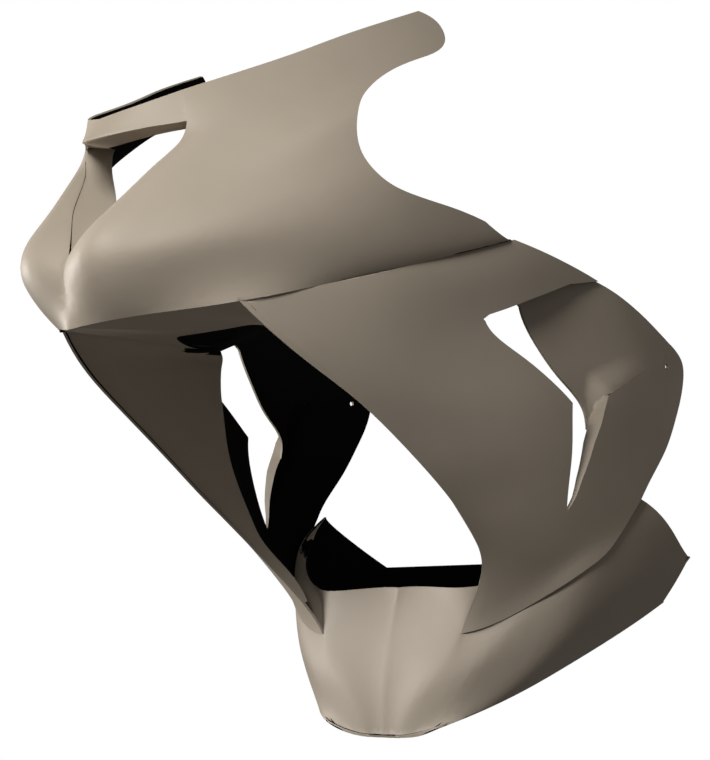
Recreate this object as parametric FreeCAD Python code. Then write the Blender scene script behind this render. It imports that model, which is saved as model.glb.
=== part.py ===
# Race fairing for a motorcycle: an upper moulding and a belly pan whose tongue
# slips inside its side panels. The upper is kept as five solids that meet face to
# face: the nose and cheeks, the two side panels, and the panels' screwed ends.
#
# Frame, millimetres: X points to the rider's left, Y rearward, Z up.
# Every surface below is given for the left half as rows of points on its outer
# face, from the front to the rear, and the right half is its mirror image.
# Rows that reach the centre plane run 3 mm past it, and the halves are cut there.
# The points are measured from the chin, the lowest forward point of the nose on
# the centre plane. At the end all is moved so that the origin is the box's centre.

import FreeCAD, Part
import math
import os

V = FreeCAD.Vector
os.makedirs("parts", exist_ok=True)

# Driving dimensions
WALL = 3.0               # moulded wall of the upper
BELLY_WALL = 3.0         # moulded wall of the belly pan
SEAM_GAP = 1.4           # clearance between the side panel and the pan's tongue
HOLE_R = 3.2             # side screw hole, for an M6 screw
HOLE_Y = 654.0
HOLE_Z = -198.0
VENT_DEPTH = 20.0        # how far the panel behind the vent lies under the outer skin
SUNK_LENGTH = 150.0      # over which it rises back to the skin, going rearward
SUNK_RUN_OUT = 150.0     # over which it rises to the skin at the slot's foot
CREASE_SLOPE = 30.0      # width of its rising edge above the lower crease
STEP_END_Y = 500.0       # where that edge turns from an upright step into a slope
SKIN_STEP = 0.2          # it stays this far under the skin where it has risen
FOOT_RISE = 0.2          # share of that run-out which lies below the slot's foot
SUNK_DOWN = (0.12, 0.74)     # the part of the side panel that is laid again for it,
SUNK_BACK = (0.2, 0.95)      # as shares of the panel's height and of its length
STEP_TOP = 1.0           # the step walls begin this far under the outer skin
STEP_BITE = 1.5          # and reach this far into the sunk panel
EDGE_LAP = 0.005         # share of a surface by which an inner wall laps its edge
LAP_DEPTH = 1.0          # and that wall begins this far under the outer skin
SLOT_LAP = 4.0           # the slot is cut this far past the skin's own front edge
LIP_WALL = 3.0           # wall that drops from the outer skin to the sunk panel
CENTRE = V(0, 345, -142.5)   # middle of the whole fairing's box, seen from the chin
PANEL_DROP = 1.5         # the side panels begin this far under the ridge
PANEL_FROM_X = 90.0      # and this far out from the centre plane
END_FROM_Y = 560.0       # their screwed ends begin this far behind the chin
REACH = 400.0            # a cutting prism always passes this far out to the side
FAR = 1000.0             # and its far corners lie this far out, beyond the part
SIDE_X = 100.0           # where the cuts that belong to one side only begin

# Cowl: from the screen opening's edge down to the ridge, front to rear.
# The front ends run down the duct opening's edge and then the nose's centre line.
COWL = [
    [(70, 156, 210), (88, 185, 214), (104, 222, 219), (126, 276, 227),
     (148, 339, 238), (172, 430, 250), (184, 500, 260)],
    [(79, 145, 178), (98, 166, 181), (122, 205, 184), (150, 262, 189),
     (174, 330, 196), (192, 405, 203), (204, 480, 210)],
    [(58, 112, 140), (72, 101, 140), (104, 136, 140), (146, 186, 141),
     (182, 228, 144), (208, 280, 148), (222, 350, 152)],
    [(38, 74, 114), (60, 54, 112), (98, 97, 112), (144, 152, 110),
     (184, 205, 108), (214, 262, 107), (230, 330, 106)],
    [(14, 44, 91), (50, 16, 88), (92, 59, 88), (140, 118, 85),
     (184, 182, 82), (218, 255, 78), (236, 340, 72)],
    [(-3, 18, 64), (42, 2, 63), (84, 31, 62), (134, 93, 58),
     (184, 170, 52), (221, 258, 46), (239, 360, 38)],
    [(-3, 9, 34), (42, 7, 33), (84, 41, 32), (132, 99, 28),
     (184, 180, 20), (222, 278, 12), (241, 395, 4)],
    [(-3, -1.5, 0), (40, 23, 1), (80, 57, -2), (136, 106, -7),
     (178, 182, -10), (216, 286, -11), (240, 425, -11)],
]

# Band that bridges the duct opening, from the screen opening down to its lip.
BAND = [
    [(-3, 102, 199), (24, 112, 202), (46, 128, 205), (70, 156, 210), (88, 185, 214)],
    [(-3, 77, 179), (24, 94, 180), (48, 118, 180), (79, 145, 178), (98, 166, 181)],
]

# Side panel: from the ridge down to the seam, front edge of the wheel arch to rear.
PANEL = [
    [(136, 106, -7), (157, 148, -9), (185, 208, -10), (213, 288, -11),
     (237, 427, -11), (245, 530, -12), (248, 640, -14)],
    [(150, 134, -50), (177, 190, -49), (202, 250, -48), (224, 330, -48),
     (241, 430, -50), (248, 530, -54), (250, 650, -60)],
    [(160, 168, -90), (187, 222, -90), (209, 287, -90), (228, 368, -90),
     (242, 462, -92), (249, 570, -96), (250, 690, -104)],
    [(169, 205, -130), (194, 256, -131), (215, 318, -133), (235, 392, -136),
     (246, 475, -140), (250, 590, -145), (250, 720, -150)],
    [(175, 252, -187), (201, 300, -187), (227, 358, -188), (246, 420, -191),
     (254, 490, -196), (252, 600, -202), (249, 730, -208)],
    [(177, 284, -229), (203, 325, -229), (227, 374, -231), (246, 428, -234),
     (255, 495, -239), (254, 600, -246), (251, 730, -254)],
    [(176, 311, -265), (201, 346, -266), (223, 387, -268), (241, 433, -272),
     (252, 495, -279), (255, 590, -289), (252, 720, -302)],
    [(171, 337, -304), (196, 362, -305), (216, 396, -308), (233, 437, -313),
     (247, 496, -321), (254, 575, -331), (253, 690, -346)],
    [(155, 362, -354), (178, 376, -355), (199, 400, -356), (218, 432, -356),
     (237, 478, -355), (251, 550, -358), (254, 660, -378)],
    [(114, 366, -412), (138, 374, -410), (164, 389, -404), (194, 414, -395),
     (226, 452, -382), (249, 530, -380), (254, 640, -405)],
    [(104, 360, -440), (128, 368, -440), (156, 385, -437), (190, 412, -430),
     (224, 452, -420), (249, 530, -418), (254, 640, -440)],
]

# Inner edge of the arch, from the centre of the nose's underside to the lower tip,
# and the outer fold line that it faces.
FOLD = [(-3, -1.5, 0), (40, 23, 1), (80, 57, -2), (136, 106, -7), (144, 120, -32),
        (160, 168, -90), (169, 205, -130), (175, 252, -187), (177, 284, -229),
        (176, 311, -265), (171, 337, -304), (155, 362, -354), (132, 367, -390)]
ARCH = [(-3, 193, -38), (32, 193, -38), (60, 197, -39), (84, 258, -62),
        (104, 300, -76), (114, 300, -100), (124, 302, -135), (138, 309, -190),
        (149, 324, -236), (155, 338, -274), (158, 350, -304), (148, 374, -352),
        (128, 373, -389)]

# Duct opening: its edge on the cheek and the inner edge of its short wall.
DUCT_EDGE = [(79, 145, 178), (58, 112, 140), (38, 74, 114), (15, 44, 91), (-3, 17, 64)]
DUCT_INNER = [(64, 172, 172), (54, 152, 146), (40, 138, 126), (22, 118, 108), (-3, 89, 92)]
LIP_EDGE = [(-3, 77, 179), (24, 94, 180), (48, 118, 180), (83, 149, 179)]
LIP_INNER = [(-3, 118, 170), (22, 126, 171), (42, 144, 172), (70, 177, 170)]

# Side view outlines, as (Y, Z)
REAR_OUTLINE = [(470, 330), (428, 252), (446, 232), (443, 218), (424, 204), (388, 197),
                (345, 189), (302, 174), (268, 154), (252, 130), (249, 106), (260, 80),
                (290, 58), (348, 32), (424, -8), (511, -55), (577, -95), (626, -133),
                (668, -172), (690, -204), (680, -226), (650, -256), (612, -286),
                (568, -312), (546, -328)]
SEAM = [(546, -328), (519, -347), (478, -373), (449, -384), (411, -402), (384, -417),
        (366, -426), (340, -430)]
VENT_FRONT = [(364, -86), (370, -99), (378, -109), (404, -135), (431, -166), (454, -197)]
VENT_LOW = [(454, -197), (446, -223), (441, -249), (436, -274), (432, -304)]
VENT_REAR = [(440, -84), (441, -94), (445, -111), (453, -133), (472, -172), (489, -197),
             (495, -214), (492, -229), (483, -247), (464, -275), (448, -304)]
LIP = [(362, -84), (371, -81), (396, -80), (440, -77), (500, -73), (560, -80)]
CREASE = [(432, -312), (444, -298), (454, -280), (478, -246), (496, -228), (506, -216),
          (520, -203), (567, -197), (630, -190), (655, -187)]
# Behind the sunk panel, and past the slot's foot and head, as (Y, Z).
SUNK_REAR = [(680, -170), (680, -110)]
SLOT_FOOT = [(428, -316), (438, -312)]
SLOT_HEAD = [(430, -70), (356, -70)]

# Belly pan
FRONT_WALL = [
    [(0, 395, -381), (58, 393, -381), (108, 389, -381)],
    [(0, 366, -427), (55, 365, -427), (102, 364, -427)],
    [(0, 342, -468), (42, 341, -468), (78, 339, -468)],
    [(0, 330, -495), (30, 329, -495), (57, 328, -495)],
    [(0, 317, -534), (17, 317, -534), (33, 316, -533)],
]
# Its side: the tongue's edge inside the side panel, the seam as (Y, Z), and the rows below.
TONGUE_EDGE = [(108, 389, -381), (134, 402, -381), (166, 424, -377), (200, 456, -366),
               (225, 496, -350), (238, 530, -334), (244, 570, -324), (244, 640, -330)]
SEAM_ROW = [(370, -424), (386, -415), (413, -401), (452, -383), (500, -366),
            (560, -362), (650, -372)]
BELLY_SIDE = [
    [(78, 339, -468), (104, 345, -464), (138, 360, -456), (178, 394, -446),
     (210, 444, -434), (230, 520, -418), (237, 580, -410), (240, 650, -412)],
    [(57, 328, -495), (84, 333, -492), (118, 346, -487), (160, 378, -478),
     (194, 436, -464), (216, 520, -446), (227, 580, -436), (234, 650, -432)],
    [(33, 316, -533), (50, 317, -531), (86, 322, -521), (136, 366, -508),
     (174, 460, -493), (197, 540, -480), (210, 580, -471), (222, 640, -458)],
]
PAN_REAR = [(546, -322), (560, -336), (574, -350), (600, -378), (622, -403), (642, -424),
            (602, -464)]
# Its rear end: a low wall from the floor up to the tips.
DAM = [
    [(0, 604, -477), (105, 603, -472), (213, 602, -464)],
    [(0, 624, -446), (115, 623, -444), (227, 622, -441)],
    [(0, 642, -424), (120, 642, -424), (238, 642, -424)],
]
# Its floor: the centre line and a line between that and the side's lower edge.
FLOOR = [
    [(86, 322, -521), (136, 366, -508), (174, 460, -493), (197, 540, -480),
     (210, 580, -471), (222, 640, -458)],
    [(45, 317, -531), (72, 366, -520), (90, 460, -503), (100, 540, -489),
     (105, 580, -479), (111, 640, -466)],
    [(0, 317, -534), (0, 366, -524), (0, 460, -507), (0, 540, -493),
     (0, 580, -483), (0, 640, -470)],
]


def chord_parameters(lines_of_points):
    """Parameters from 0 to 1 along the lines, by their average chord lengths."""
    sums = [0.0] * len(lines_of_points[0])
    for points in lines_of_points:
        lengths = [0.0]
        for p, q in zip(points, points[1:]):
            lengths.append(lengths[-1] + max(p.distanceToPoint(q), 1e-6))
        for k, length in enumerate(lengths):
            sums[k] += length / lengths[-1]
    return [total / len(lines_of_points) for total in sums]


def curve_through(points, parameters):
    curve = Part.BSplineCurve()
    curve.interpolate(Points=points, Parameters=parameters)
    return curve


def interpolated(grid):
    """Smooth surface through a grid of points, cubic both ways."""
    rows = [[V(*p) for p in row] for row in grid]
    along = chord_parameters(rows)
    down = chord_parameters([list(column) for column in zip(*rows)])
    row_curves = [curve_through(row, along) for row in rows]
    columns = zip(*[curve.getPoles() for curve in row_curves])
    column_curves = [curve_through(list(column), down) for column in columns]
    poles = [list(line) for line in zip(*[curve.getPoles() for curve in column_curves])]
    u, v = column_curves[0], row_curves[0]
    surface = Part.BSplineSurface()
    surface.buildFromPolesMultsKnots(poles, u.getMultiplicities(), v.getMultiplicities(),
                                     u.getKnots(), v.getKnots(), False, False,
                                     u.Degree, v.Degree)
    return surface


def grid_normal(grid, i, j):
    """Unit normal of a point grid by central differences."""
    rows = len(grid)
    cols = len(grid[0])
    down = V(*grid[min(i + 1, rows - 1)][j]) - V(*grid[max(i - 1, 0)][j])
    along = V(*grid[i][min(j + 1, cols - 1)]) - V(*grid[i][max(j - 1, 0)])
    return down.cross(along).normalize()


def moved_in(grid, depth):
    """The grid moved by depth against its normals, towards the inner face."""
    moved = []
    for i, row in enumerate(grid):
        line = []
        for j, point in enumerate(row):
            p = V(*point) - grid_normal(grid, i, j) * depth
            if point[0] <= 0:
                p.x = point[0]
            line.append((p.x, p.y, p.z))
        moved.append(line)
    return moved


def between(outer, inner):
    """Closed solid between two surfaces that have the same rows and columns."""
    top = interpolated(outer)
    bottom = interpolated(inner)
    u0, u1, v0, v1 = top.bounds()
    faces = [top.toShape(), bottom.toShape()]
    for pick in ("u0", "u1", "v0", "v1"):
        edges = []
        for s in (top, bottom):
            a0, a1, b0, b1 = s.bounds()
            if pick == "u0":
                curve = s.uIso(a0)
            elif pick == "u1":
                curve = s.uIso(a1)
            elif pick == "v0":
                curve = s.vIso(b0)
            else:
                curve = s.vIso(b1)
            edges.append(curve.toShape())
        faces.append(Part.makeRuledSurface(edges[0], edges[1]))
    shell = Part.makeShell(faces)
    shell.sewShape()
    solid = Part.makeSolid(Part.makeShell(shell.Faces))
    if solid.Volume < 0:
        solid.reverse()
    return solid


def slab(grid, wall):
    return between(grid, moved_in(grid, wall))


def doubled(points):
    """The points with one more between each two, on the smooth curve through them."""
    corners = [V(*p) for p in points]
    at = chord_parameters([corners])
    curve = curve_through(corners, at)
    result = [points[0]]
    for a, b, point in zip(at, at[1:], points[1:]):
        p = curve.value((a + b) / 2.0)
        result += [(p.x, p.y, p.z), point]
    return result


def laid_on(points, edge):
    """The points, each moved to the nearest place on a surface's edge."""
    moved = [edge.value(edge.parameter(V(*p))) for p in points]
    return [(p.x, p.y, p.z) for p in moved]


def spline_wire(points, x):
    curve = Part.BSplineCurve()
    curve.interpolate([V(x, y, z) for y, z in points])
    return curve.toShape()


def prism(edges, x0):
    """Prism out to the side from a closed side-view outline drawn at x0."""
    face = Part.Face(Part.Wire(Part.__sortEdges__(edges)))
    return face.extrude(V(REACH, 0, 0))


def lines(points, x):
    corners = [V(x, y, z) for y, z in points]
    return [Part.makeLine(a, b) for a, b in zip(corners, corners[1:])]


def loop(points, x):
    return lines(points + [points[0]], x)


def mirrored(shape):
    return shape.mirror(V(0, 0, 0), V(1, 0, 0))


def left_half(pieces):
    """One solid of the left-hand pieces, cut off at the centre plane."""
    other_side = Part.makeBox(REACH, 2 * FAR, 2 * FAR, V(-REACH, -FAR, -FAR))
    return pieces[0].multiFuse(pieces[1:]).cut(other_side)


def whole(half):
    return half.fuse(mirrored(half))


def crossing(surface, y, z):
    """X at which a line along X meets the surface on the left-hand side."""
    points, _ = Part.Line(V(0, y, z), V(1, y, z)).intersectCS(surface)
    return max(p.X for p in points)


def eased(t):
    t = min(1.0, max(0.0, t))
    return t * t * (3.0 - 2.0 * t)


def read_off(points, at):
    """Second value at a first value, along a line of points in rising order."""
    for (a0, b0), (a1, b1) in zip(points, points[1:]):
        if at <= a1:
            return b0 + (b1 - b0) * max(0.0, at - a0) / (a1 - a0)
    return points[-1][1]


def sunk_depth(y, z):
    """How far the panel behind the vent lies under the outer skin."""
    front_y = read_off([(z1, y1) for y1, z1 in reversed(VENT_REAR)], z)
    depth = VENT_DEPTH * (1.0 - eased((y - front_y) / SUNK_LENGTH))
    depth *= eased((z - CREASE[0][1]) / SUNK_RUN_OUT + FOOT_RISE)
    sloping = eased((y - STEP_END_Y) / CREASE_SLOPE)
    above = eased((z - read_off(CREASE, y)) / CREASE_SLOPE)
    return depth * (1.0 - sloping * (1.0 - above)) + SKIN_STEP


def spread(ends, count):
    """Even steps from the first value to the last."""
    step = (ends[1] - ends[0]) / (count - 1)
    return [ends[0] + step * k for k in range(count)]


def sunk_grid(surface):
    """Points of the outer skin around the vent, moved in by the sunk depth."""
    u0, u1, v0, v1 = surface.bounds()
    rows = []
    for down in spread(SUNK_DOWN, 31):
        row = []
        for back in spread(SUNK_BACK, 43):
            p = surface.value(u0 + (u1 - u0) * down, v0 + (v1 - v0) * back)
            p = p - V(1, 0, 0) * sunk_depth(p.y, p.z)
            row.append((p.x, p.y, p.z))
        rows.append(row)
    return rows


def trim_prism():
    """Everything behind the rear outline and below the seam."""
    x = 10.0
    edges = [spline_wire(REAR_OUTLINE, x), spline_wire(SEAM, x)]
    behind = [(SEAM[-1][0], -FAR), (FAR, -FAR), (FAR, REAR_OUTLINE[0][1])]
    return prism(edges + lines(SEAM[-1:] + behind + REAR_OUTLINE[:1], x), x)


def arch_flap(cowl_surface, panel_surface):
    """Underside of the nose and the flap that faces the front wheel."""
    fold = doubled(FOLD)
    corner = fold.index(PANEL[0][0])
    fold = (laid_on(fold[:corner], cowl_surface.uIso(1.0 - EDGE_LAP))
            + laid_on(fold[corner:], panel_surface.vIso(EDGE_LAP)))
    rows = []
    for a, b in zip(fold, doubled(ARCH)):
        middle = tuple((p + q) / 2.0 for p, q in zip(a, b))
        rows.append([b, middle, a])
    return slab(rows, WALL)


def vent_outline(x):
    """The slot's front, the crease under the sunk panel, the rear and the lip."""
    rest = VENT_LOW[-1:] + CREASE + SUNK_REAR + LIP[::-1] + VENT_FRONT[:1]
    return [spline_wire(VENT_FRONT, x), spline_wire(VENT_LOW, x)] + lines(rest, x)


def vent_slot(x):
    """The opening: its front edge runs a little past the skin's own."""
    front = [(y - SLOT_LAP, z) for y, z in VENT_FRONT]
    low = [(y - SLOT_LAP, z) for y, z in VENT_LOW]
    foot = low[-1:] + SLOT_FOOT + VENT_REAR[-1:]
    head = VENT_REAR[:1] + SLOT_HEAD + front[:1]
    return ([spline_wire(front, x), spline_wire(low, x), spline_wire(VENT_REAR, x)]
            + lines(foot, x) + lines(head, x))


def beside(points, distance):
    """The points moved sideways, to the left of the way the line runs."""
    moved = []
    for k, (y, z) in enumerate(points):
        y0, z0 = points[max(k - 1, 0)]
        y1, z1 = points[min(k + 1, len(points) - 1)]
        length = math.hypot(y1 - y0, z1 - z0)
        moved.append((y - distance * (z1 - z0) / length, z + distance * (y1 - y0) / length))
    return moved


def step_wall(surface, line, side):
    """Wall under the skin along a line, down to the sunk panel."""
    sunk = sunk_grid(surface)
    top = [[(x + sunk_depth(y, z) - STEP_TOP, y, z) for x, y, z in row] for row in sunk]
    low = [[(x - STEP_BITE, y, z) for x, y, z in row] for row in sunk]
    back = list(reversed(beside(line, side * LIP_WALL)))
    return between(top, low).common(prism(loop(line + back, SIDE_X), SIDE_X))


def screw_hole():
    return Part.makeCylinder(HOLE_R, REACH, V(SIDE_X, HOLE_Y, HOLE_Z), V(1, 0, 0))


def strip(outer_edge, inner_edge):
    """Wall between an edge on the outer face and the edge it turns in to."""
    return slab([[inner, outer] for outer, inner in zip(outer_edge, inner_edge)], WALL)


def seated_on_ridge(cowl, panel_surface):
    """The cowl's rows, with the last one laid on the side panel's upper edge."""
    last = cowl[-1]
    corner = last.index(PANEL[0][0])
    return cowl[:-1] + [last[:corner] + laid_on(last[corner:], panel_surface.uIso(0.0))]


def upper_half():
    panel_surface = interpolated(PANEL)
    trim = trim_prism()
    sunk_region = prism(vent_outline(SIDE_X), SIDE_X)
    slot = prism(vent_slot(SIDE_X), SIDE_X)
    cowl_rows = seated_on_ridge(COWL, panel_surface)
    cowl_surface = interpolated(moved_in(cowl_rows, LAP_DEPTH))
    panel_inside = interpolated(moved_in(PANEL, LAP_DEPTH))
    cowl = slab(cowl_rows, WALL).cut(trim)
    duct_edge = laid_on(doubled(DUCT_EDGE), cowl_surface.vIso(EDGE_LAP))
    panel = slab(PANEL, WALL).cut(trim).cut(sunk_region).cut(screw_hole())
    sunk = slab(sunk_grid(panel_surface), WALL).common(sunk_region).cut(slot).cut(trim)
    lip = step_wall(panel_surface, LIP, 1).cut(trim)
    step = step_wall(panel_surface, CREASE, -1).cut(trim)
    return left_half([cowl, slab(BAND, WALL), panel, sunk, lip, step,
                      strip(duct_edge, doubled(DUCT_INNER)), strip(LIP_EDGE, LIP_INNER),
                      arch_flap(cowl_surface, panel_inside).cut(trim)])


def under_ridge():
    """Everything under the ridge and outboard of the nose's underside."""
    ridge = [(y, z - PANEL_DROP) for x, y, z in PANEL[0]]
    below = [(FAR, ridge[-1][1]), (FAR, -FAR), (-FAR, -FAR), (-FAR, ridge[0][1])]
    edges = lines(ridge[-1:] + below + ridge[:1], PANEL_FROM_X)
    return prism([spline_wire(ridge, PANEL_FROM_X)] + edges, PANEL_FROM_X)


def rear_prism():
    """Everything behind the belly pan's rear end."""
    x = -5.0
    heel_y = PAN_REAR[-1][0]
    behind = [(heel_y, -FAR), (FAR, -FAR), (FAR, 0), PAN_REAR[0]]
    tip = [PAN_REAR[-2], PAN_REAR[-1]]
    return prism([spline_wire(PAN_REAR[:-1], x)] + lines(tip + behind, x), x)


def belly_pan():
    inset = interpolated(moved_in(PANEL, WALL + SEAM_GAP))
    seam_row = [(crossing(inset, y, z), y, z) for y, z in SEAM_ROW]
    sides = [TONGUE_EDGE[1:], seam_row] + [row[1:] for row in BELLY_SIDE]
    skin = [wall + side for wall, side in zip(FRONT_WALL, sides)]
    behind = rear_prism()
    pieces = [slab(skin, BELLY_WALL).cut(behind), slab(FLOOR, BELLY_WALL).cut(behind),
              slab(DAM, BELLY_WALL)]
    return whole(left_half(pieces))


def behind_panels():
    """Everything behind the line where a side panel's screwed end begins."""
    corners = [(END_FROM_Y, -FAR), (FAR, -FAR), (FAR, FAR), (END_FROM_Y, FAR)]
    return prism(loop(corners, PANEL_FROM_X), PANEL_FROM_X)


upper = upper_half()
panel_zone = under_ridge()
end_zone = behind_panels()
left_side = upper.common(panel_zone)
left_panel = left_side.cut(end_zone)
left_end = left_side.common(end_zone)
solids = {
    "nose_cowl": whole(upper.cut(panel_zone)),
    "left_side_panel": left_panel,
    "right_side_panel": mirrored(left_panel),
    "left_panel_end": left_end,
    "right_panel_end": mirrored(left_end),
    "belly_pan": belly_pan(),
}
for name, solid in solids.items():
    print(name, solid.isValid(), len(solid.Solids), round(solid.Volume / 1000.0, 1), "cm3")
    solid.translate(-CENTRE)
    solid.exportStep("parts/" + name + ".step")
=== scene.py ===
import bmesh
import bpy
from mathutils import Matrix, Vector


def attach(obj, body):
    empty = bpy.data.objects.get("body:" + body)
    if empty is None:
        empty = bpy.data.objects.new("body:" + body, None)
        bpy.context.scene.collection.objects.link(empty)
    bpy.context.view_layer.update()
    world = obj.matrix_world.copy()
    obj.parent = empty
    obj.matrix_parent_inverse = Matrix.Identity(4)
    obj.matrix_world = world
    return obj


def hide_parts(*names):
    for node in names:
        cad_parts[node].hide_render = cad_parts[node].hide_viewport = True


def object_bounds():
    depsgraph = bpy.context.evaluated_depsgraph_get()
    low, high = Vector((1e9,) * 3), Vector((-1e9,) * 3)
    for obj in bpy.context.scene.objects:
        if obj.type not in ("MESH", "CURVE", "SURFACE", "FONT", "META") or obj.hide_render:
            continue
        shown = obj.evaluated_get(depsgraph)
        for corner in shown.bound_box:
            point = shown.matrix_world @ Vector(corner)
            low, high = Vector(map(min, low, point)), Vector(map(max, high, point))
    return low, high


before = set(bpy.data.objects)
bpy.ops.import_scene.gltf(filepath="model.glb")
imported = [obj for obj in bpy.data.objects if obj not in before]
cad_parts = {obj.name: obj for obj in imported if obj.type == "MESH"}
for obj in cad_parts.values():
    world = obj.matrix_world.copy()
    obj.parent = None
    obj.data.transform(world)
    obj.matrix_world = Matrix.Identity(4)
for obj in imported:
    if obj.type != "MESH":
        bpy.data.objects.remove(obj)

CAD_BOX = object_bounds()

# Camera and studio.
# A long lens stands low in front of the fairing's left side, rolled as in the
# photograph. Floor and backdrop glow white; a lamp hangs ahead and one stands aside.
PHOTO_W = 710.0
FOCAL_PX = 1856.0
SENSOR = 36.0
CAMERA_AT = Vector((1.419, -1.520, 0.2035))
CAMERA_RIGHT = Vector((0.739, 0.641, -0.209))
CAMERA_DOWN = Vector((-0.095, -0.207, -0.974))
SHEET_SIZE = 60.0
FLOOR_GAP = 0.001                       # the floor lies this far under the belly pan
BACKDROP_AT = (-9.0, 10.0, 0.0)
BACKDROP_TURN = (1.5708, 0.0, 0.73)     # upright, about square to the lens
LAMP_TINT = "#FFFBF6"
EVEN_TINT = "#FFF9F2"
EVEN_LIGHT = 0.12


def place_camera():
    """The photograph's camera, from its place and its right and down directions."""
    data = bpy.data.cameras.new("camera")
    data.sensor_fit = "HORIZONTAL"
    data.sensor_width = SENSOR
    data.lens = SENSOR * FOCAL_PX / PHOTO_W
    data.clip_end = 100.0
    camera = bpy.data.objects.new("camera", data)
    right = CAMERA_RIGHT.normalized()
    up = (-CAMERA_DOWN - right * right.dot(-CAMERA_DOWN)).normalized()
    back = right.cross(up)
    turned = Matrix((right, up, back)).transposed().to_4x4()
    camera.matrix_world = Matrix.Translation(CAMERA_AT) @ turned
    bpy.context.collection.objects.link(camera)
    bpy.context.scene.camera = camera


def linear(code):
    """An sRGB hex colour as linear RGBA."""
    values = []
    for k in (1, 3, 5):
        c = int(code[k:k + 2], 16) / 255.0
        values.append(c / 12.92 if c <= 0.04045 else ((c + 0.055) / 1.055) ** 2.4)
    return (*values, 1.0)


def add_node(tree, kind, settings=None, links=None):
    """A node with its settings, and its inputs as values or linked sockets."""
    node = tree.nodes.new(kind)
    for name, value in (settings or {}).items():
        setattr(node, name, value)
    for name, value in (links or {}).items():
        if isinstance(value, bpy.types.NodeSocket):
            tree.links.new(value, node.inputs[name])
        else:
            node.inputs[name].default_value = value
    return node


def soft_light(name, place, aim, size, power):
    """A round lamp that shines from its place towards its aim."""
    data = bpy.data.lights.new(name, "AREA")
    data.shape = "DISK"
    data.size = size
    data.energy = power
    data.color = linear(LAMP_TINT)[:3]
    light = bpy.data.objects.new(name, data)
    light.location = place
    light.rotation_euler = (Vector(aim) - Vector(place)).to_track_quat("-Z", "Y").to_euler()
    bpy.context.collection.objects.link(light)


def studio_sheet(name, place, turn):
    """A large plain sheet that the camera sees as white and that lights nothing."""
    bpy.ops.mesh.primitive_plane_add(size=SHEET_SIZE, location=place, rotation=turn)
    sheet = bpy.context.object
    sheet.name = name
    sheet.visible_diffuse = False
    sheet.visible_glossy = False
    paint = bpy.data.materials.new(name + "_paint")
    paint.use_nodes = True
    shader = paint.node_tree.nodes["Principled BSDF"]
    shader.inputs["Base Color"].default_value = linear("#000000")
    shader.inputs["Roughness"].default_value = 1.0
    shader.inputs["Specular IOR Level"].default_value = 0.0
    shader.inputs["Emission Color"].default_value = linear("#FFFFFF")
    shader.inputs["Emission Strength"].default_value = 1.0
    sheet.data.materials.append(paint)


place_camera()
studio_sheet("floor", (0.0, 0.0, CAD_BOX[0][2] - FLOOR_GAP), (0.0, 0.0, 0.0))
studio_sheet("backdrop", BACKDROP_AT, BACKDROP_TURN)
world = bpy.data.worlds.new("studio")
world.use_nodes = True
even = world.node_tree.nodes["Background"]
even.inputs["Color"].default_value = linear(EVEN_TINT)
even.inputs["Strength"].default_value = EVEN_LIGHT
bpy.context.scene.world = world
bpy.context.scene.view_settings.view_transform = "Standard"
soft_light("key", (0.5, -1.0, 1.0), (0.0, 0.0, 0.1), size=0.5, power=14.0)
soft_light("side", (-2.0, -1.0, 0.5), (0.0, 0.0, 0.0), size=0.9, power=42.0)


# Nose and cheeks.
# The nose, cheeks, side panels and wheel-arch flaps are one thin moulding of glass
# fibre laid up in a mould: matt taupe primer gelcoat outside, raw dark laminate
# inside, where the resin and cloth lie open.
WELD = 0.000004                         # the solid's loose triangles meet within this
CREASE_ANGLE = 0.35                     # a fold sharper than this stays an edge
CHIN = Vector((0.0, -0.345, 0.1425))    # the places below are measured from here
MIDDLE_Y = 0.45                         # middle of the space inside, front to rear
INSIDE_LOW = -0.3                       # and its span in height
INSIDE_HIGH = 0.1
FORWARD = -0.15                         # a flap that looks this far forward is outside
LEVEL = 0.8                             # a level face here is inside, under the ridge:
ARCH_END = 0.25                         # behind this
NOSE_FOOT = 0.02                        # and below this
CLOUDS_PER_M = 7.0                      # mottling about 140 mm across
GRAIN_PER_M = 900.0                     # about 1.1 mm, coarser than the real grain, to show
FIBRE_PER_M = 260.0                     # bundles of fibre about 4 mm across


def gelcoat_material():
    """Primer gelcoat off the mould: matt, faintly mottled, with a soft broad sheen."""
    material = bpy.data.materials.new("taupe_primer_gelcoat")
    material.use_nodes = True
    tree = material.node_tree
    place = add_node(tree, "ShaderNodeTexCoord").outputs["Object"]
    cloud = add_node(tree, "ShaderNodeTexNoise",
                     links={"Vector": place, "Scale": CLOUDS_PER_M, "Detail": 4.0,
                            "Roughness": 0.55})
    fine = add_node(tree, "ShaderNodeTexNoise",
                    links={"Vector": place, "Scale": GRAIN_PER_M, "Detail": 3.0,
                           "Roughness": 0.6})
    tone = add_node(tree, "ShaderNodeMapRange",
                    links={"Value": cloud.outputs["Fac"], "From Min": 0.3, "From Max": 0.7})
    colour = add_node(tree, "ShaderNodeMix", {"data_type": "RGBA"},
                      {"Factor": tone.outputs["Result"]})
    colour.inputs["A"].default_value = linear("#A69C8E")
    colour.inputs["B"].default_value = linear("#ADA395")
    rough = add_node(tree, "ShaderNodeMapRange",
                     links={"Value": fine.outputs["Fac"], "From Min": 0.3, "From Max": 0.7,
                            "To Min": 0.50, "To Max": 0.62})
    bump = add_node(tree, "ShaderNodeBump",
                    links={"Height": fine.outputs["Fac"], "Strength": 0.08,
                           "Distance": 0.0001})
    shader = tree.nodes["Principled BSDF"]
    shader.inputs["IOR"].default_value = 1.5
    tree.links.new(colour.outputs["Result"], shader.inputs["Base Color"])
    tree.links.new(rough.outputs["Result"], shader.inputs["Roughness"])
    tree.links.new(bump.outputs["Normal"], shader.inputs["Normal"])
    return material


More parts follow.
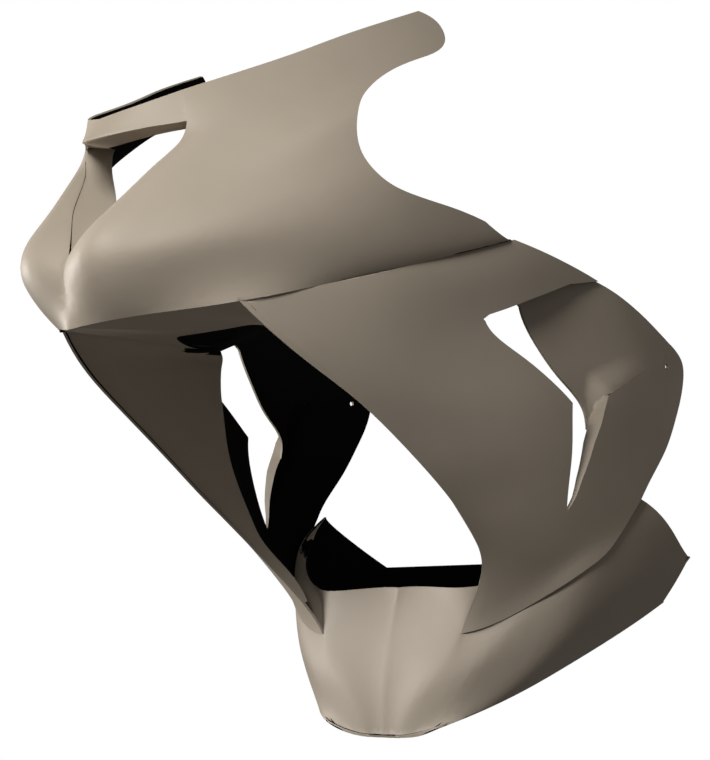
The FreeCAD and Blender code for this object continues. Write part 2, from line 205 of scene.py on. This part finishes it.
def laminate_material():
    """Bare resin over cloth: nearly black, rough, with no clear highlight."""
    material = bpy.data.materials.new("raw_black_laminate")
    material.use_nodes = True
    tree = material.node_tree
    place = add_node(tree, "ShaderNodeTexCoord").outputs["Object"]
    fibre = add_node(tree, "ShaderNodeTexNoise",
                     links={"Vector": place, "Scale": FIBRE_PER_M, "Detail": 5.0})
    tone = add_node(tree, "ShaderNodeMix", {"data_type": "RGBA"},
                    {"Factor": fibre.outputs["Fac"]})
    tone.inputs["A"].default_value = linear("#050505")
    tone.inputs["B"].default_value = linear("#0B0A0A")
    bump = add_node(tree, "ShaderNodeBump",
                    links={"Height": fibre.outputs["Fac"], "Strength": 0.3,
                           "Distance": 0.0003})
    shader = tree.nodes["Principled BSDF"]
    shader.inputs["Roughness"].default_value = 0.9
    shader.inputs["Specular IOR Level"].default_value = 0.1
    tree.links.new(tone.outputs["Result"], shader.inputs["Base Color"])
    tree.links.new(bump.outputs["Normal"], shader.inputs["Normal"])
    return material


def clamped(value, low, high):
    return max(low, min(high, value))


def faces_out(middle, normal):
    """Whether a face of the upper looks away from the space inside the fairing."""
    p = middle - CHIN
    side = Vector((p.x, p.y - MIDDLE_Y, p.z - clamped(p.z, INSIDE_LOW, INSIDE_HIGH)))
    level = abs(normal.z) > LEVEL and p.y > ARCH_END and p.z < NOSE_FOOT
    return (normal.dot(side) > 0.0 or normal.y < FORWARD) and not level


def moulding(name, node, is_outside, materials):
    """The node's solid as a smooth shell with its inner side in the second material."""
    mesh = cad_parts[node].data.copy()
    mesh.materials.clear()
    for material in materials:
        mesh.materials.append(material)
    work = bmesh.new()
    work.from_mesh(mesh)
    bmesh.ops.remove_doubles(work, verts=work.verts, dist=WELD)
    for face in work.faces:
        outside = is_outside(face.calc_center_median(), face.normal)
        face.material_index = 0 if outside else 1
    work.to_mesh(mesh)
    work.free()
    mesh.shade_smooth()
    mesh.set_sharp_from_angle(angle=CREASE_ANGLE)
    piece = bpy.data.objects.new(name, mesh)
    bpy.context.collection.objects.link(piece)
    weighted = piece.modifiers.new("weighted_normals", "WEIGHTED_NORMAL")
    weighted.keep_sharp = True
    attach(piece, "root")
    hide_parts(node)


gelcoat = gelcoat_material()
laminate = laminate_material()
moulding("nose_moulding", "nose_cowl", faces_out, (gelcoat, laminate))

# Side panels.
# The same moulding carries on under the ridge, with the air slot cut through it and
# the surface behind the slot sunk under the skin.
for side in ("left", "right"):
    moulding(side + "_panel_moulding", side + "_side_panel", faces_out, (gelcoat, laminate))

# Screwed ends of the side panels.
# The last of the moulding on each side, trimmed at the edge and drilled for the M6
# screw that holds the fairing to the frame.
for side in ("left", "right"):
    moulding(side + "_end_moulding", side + "_panel_end", faces_out, (gelcoat, laminate))

# Belly pan.
# A second moulding of the same laminate closes the fairing under the engine; its
# tongue slips inside the side panels and is fixed to them.
PAN_FRONT_Y = 0.42
PAN_REAR_Y = 0.58
PAN_MIDDLE_Z = -0.40


def faces_out_of_pan(middle, normal):
    """Whether a face of the belly pan looks away from the space inside the pan."""
    p = middle - CHIN
    side = Vector((p.x, p.y - clamped(p.y, PAN_FRONT_Y, PAN_REAR_Y), p.z - PAN_MIDDLE_Z))
    return normal.dot(side) > 0.0


moulding("pan_moulding", "belly_pan", faces_out_of_pan, (gelcoat, laminate))
